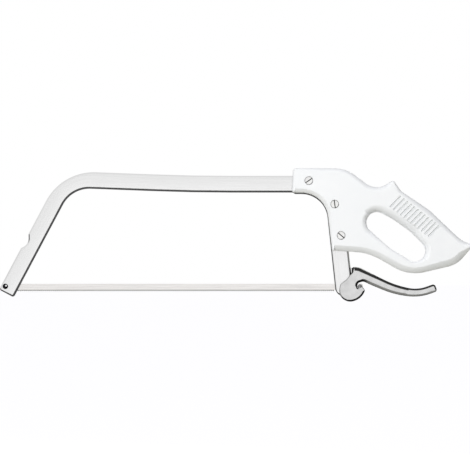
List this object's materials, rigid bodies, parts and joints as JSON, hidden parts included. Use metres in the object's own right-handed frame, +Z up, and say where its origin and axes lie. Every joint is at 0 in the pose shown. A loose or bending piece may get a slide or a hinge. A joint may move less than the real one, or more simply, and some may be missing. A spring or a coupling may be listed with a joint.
{
  "type": "butcher saw",
  "caption": "Butcher's bow saw: flat steel bow with a narrow toothed blade, moulded D handle and a scroll lever that tensions the blade.",
  "frame": {"origin": "middle of the hand grip, on the saw's middle plane", "axes": "+X along the blade from nose to handle, +Y across the thickness away from the screw heads, +Z up with the teeth pointing down"},
  "size_m": [0.5987, 0.028, 0.1684],
  "materials": {
    "satin_stainless_bar": "flat stainless bar, satin ground faces, rounded edges",
    "left_white_polypropylene": "white moulded plastic, fine satin skin",
    "right_white_polypropylene": "white moulded plastic, fine satin skin",
    "bright_blade_steel": "cold-rolled bright strip, ground teeth",
    "polished_cast_lever": "cast stainless, polished faces",
    "hardened_hook_pin": "hardened and ground",
    "polished_steel_pin": "turned, polished dome",
    "left_polished_rivet": "flush, polished with the lever",
    "right_polished_rivet": "flush, polished with the lever",
    "front_nickel_screw": "nickel plated, turned head with slot",
    "front_nickel_nut": "nickel plated, turned head with slot",
    "middle_nickel_screw": "nickel plated, turned head with slot",
    "middle_nickel_nut": "nickel plated, turned head with slot",
    "lower_nickel_screw": "nickel plated, turned head with slot",
    "lower_nickel_nut": "nickel plated, turned head with slot"
  },
  "bodies": {
    "frame": {"bow_frame": "satin_stainless_bar", "left_handle_scale": "left_white_polypropylene", "right_handle_scale": "right_white_polypropylene", "front_handle_screw": "front_nickel_screw", "middle_handle_screw": "middle_nickel_screw", "lower_handle_screw": "lower_nickel_screw", "front_sleeve_nut": "front_nickel_nut", "middle_sleeve_nut": "middle_nickel_nut", "lower_sleeve_nut": "lower_nickel_nut", "front_blade_pin": "polished_steel_pin", "left_pivot_rivet": "left_polished_rivet", "right_pivot_rivet": "right_polished_rivet"},
    "lever": {"tension_lever": "polished_cast_lever", "blade_hook_pin": "hardened_hook_pin"},
    "blade": {"saw_blade": "bright_blade_steel"}
  },
  "joints": [
    {"name": "lever_swing", "type": "hinge", "parent": "frame", "child": "lever", "pos_m": [-0.0835, 0, -0.094], "axis": [0, 1, 0], "range_deg": [0, 60]},
    {"name": "blade_swing", "type": "hinge", "parent": "frame", "child": "blade", "pos_m": [-0.513, 0, -0.0915], "axis": [0, 1, 0], "range_deg": [0, 2.56]}
  ],
  "couplings": [
    {"joint": "blade_swing", "follows": "lever_swing", "ratio": 0.0424}
  ]
}
